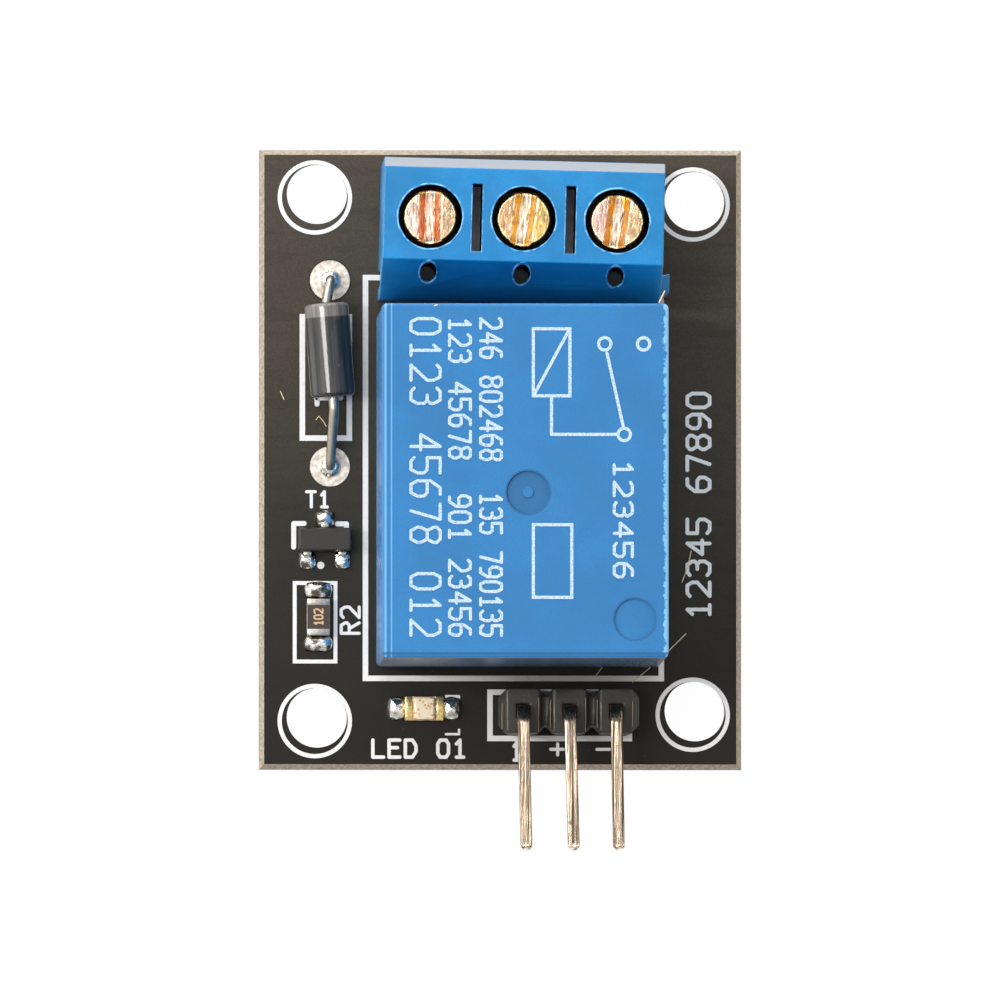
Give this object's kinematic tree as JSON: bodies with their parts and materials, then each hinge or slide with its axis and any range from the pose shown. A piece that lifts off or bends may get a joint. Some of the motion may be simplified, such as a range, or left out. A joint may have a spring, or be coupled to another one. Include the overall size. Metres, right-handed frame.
{
  "type": "relay module board",
  "caption": "Small black circuit board carrying a sealed cube relay, a three-pole screw terminal and a right-angle pin header.",
  "frame": {"origin": "centre of the four mounting holes on the board's underside", "axes": "+Z out of the component side, +Y toward the screw terminal, +X to the right with the terminal at the top"},
  "size_m": [0.0263, 0.0383, 0.0188],
  "materials": {
    "board": "black-brown solder mask over glass laminate, satin, pale snapped edge",
    "terminal_body": "moulded blue nylon, satin",
    "terminal_metal": "tin-plated sheet",
    "screw": "yellowish zinc plating, worn",
    "relay_cover": "moulded blue, fine spark texture",
    "relay_base": "moulded dark blue",
    "bobbin": "moulded black",
    "winding": "enamelled copper wire",
    "iron": "nickel-plated soft iron",
    "spring_bronze": "phosphor bronze strip",
    "contact_silver": "silver alloy",
    "tinned": "tin-plated lead",
    "header_body": "moulded black, satin",
    "diode_body": "moulded black with a grey band",
    "transistor_body": "moulded black",
    "resistor_body": "ceramic chip under dark glass",
    "lamp_carrier": "pale laminate",
    "lamp_lens": "milky resin",
    "solder": "bright solder"
  },
  "bodies": {
    "root": {"circuit_board": "board", "diode_anode_lead": "tinned", "diode_body": "diode_body", "diode_cathode_lead": "tinned", "header_insulator": "header_body", "header_pin_1": "tinned", "header_pin_2": "tinned", "header_pin_3": "tinned", "led_carrier": "lamp_carrier", "led_lens": "lamp_lens", "led_terminals": "tinned", "relay_base": "relay_base", "relay_bobbin": "bobbin", "relay_case": "relay_cover", "relay_coil": "winding", "relay_coil_pin_1": "tinned", "relay_coil_pin_2": "tinned", "relay_common_terminal": "tinned", "relay_core": "iron", "relay_nc_contact": "contact_silver", "relay_nc_terminal": "tinned", "relay_no_contact": "contact_silver", "relay_no_terminal": "tinned", "relay_yoke": "iron", "resistor_body": "resistor_body", "resistor_terminals": "tinned", "solder_diode": "solder", "solder_header": "solder", "solder_led": "solder", "solder_relay": "solder", "solder_resistor": "solder", "solder_terminal": "solder", "solder_transistor": "solder", "terminal_contact_1": "terminal_metal", "terminal_contact_2": "terminal_metal", "terminal_contact_3": "terminal_metal", "terminal_housing": "terminal_body", "transistor_body": "transistor_body", "transistor_leads": "tinned"},
    "armature": {"relay_armature": "iron", "relay_contact_spring": "spring_bronze", "relay_moving_contact": "contact_silver"},
    "guard_1": {"wire_guard_1": "terminal_metal"},
    "screw_1": {"terminal_screw_1": "screw"},
    "guard_2": {"wire_guard_2": "terminal_metal"},
    "screw_2": {"terminal_screw_2": "screw"},
    "guard_3": {"wire_guard_3": "terminal_metal"},
    "screw_3": {"terminal_screw_3": "screw"}
  },
  "joints": [
    {"name": "guard_1_slide", "type": "slide", "parent": "root", "child": "guard_1", "axis": [0, 0, 1], "range_m": [-0.0018, 0]},
    {"name": "screw_1_turn", "type": "hinge", "parent": "guard_1", "child": "screw_1", "pos_m": [-0.00436, 0.01258, 0.0112], "axis": [0, 0, 1], "range_deg": [-1440, 0]},
    {"name": "guard_2_slide", "type": "slide", "parent": "root", "child": "guard_2", "axis": [0, 0, 1], "range_m": [-0.0018, 0]},
    {"name": "screw_2_turn", "type": "hinge", "parent": "guard_2", "child": "screw_2", "pos_m": [0.00072, 0.01246, 0.0112], "axis": [0, 0, 1], "range_deg": [-1440, 0]},
    {"name": "guard_3_slide", "type": "slide", "parent": "root", "child": "guard_3", "axis": [0, 0, 1], "range_m": [-0.0018, 0]},
    {"name": "screw_3_turn", "type": "hinge", "parent": "guard_3", "child": "screw_3", "pos_m": [0.0058, 0.01234, 0.0112], "axis": [0, 0, 1], "range_deg": [-1440, 0]},
    {"name": "armature_tilt", "type": "hinge", "parent": "root", "child": "armature", "pos_m": [0.00066, -0.00991, 0.012], "axis": [-1, 0, 0], "range_deg": [0, 3.3], "stiffness_Nm_per_rad": 0.02, "springref_deg": -5.73}
  ],
  "couplings": [
    {"joint": "screw_1_turn", "follows": "guard_1_slide", "rad_per_m": 13963},
    {"joint": "screw_2_turn", "follows": "guard_2_slide", "rad_per_m": 13963},
    {"joint": "screw_3_turn", "follows": "guard_3_slide", "rad_per_m": 13963}
  ]
}
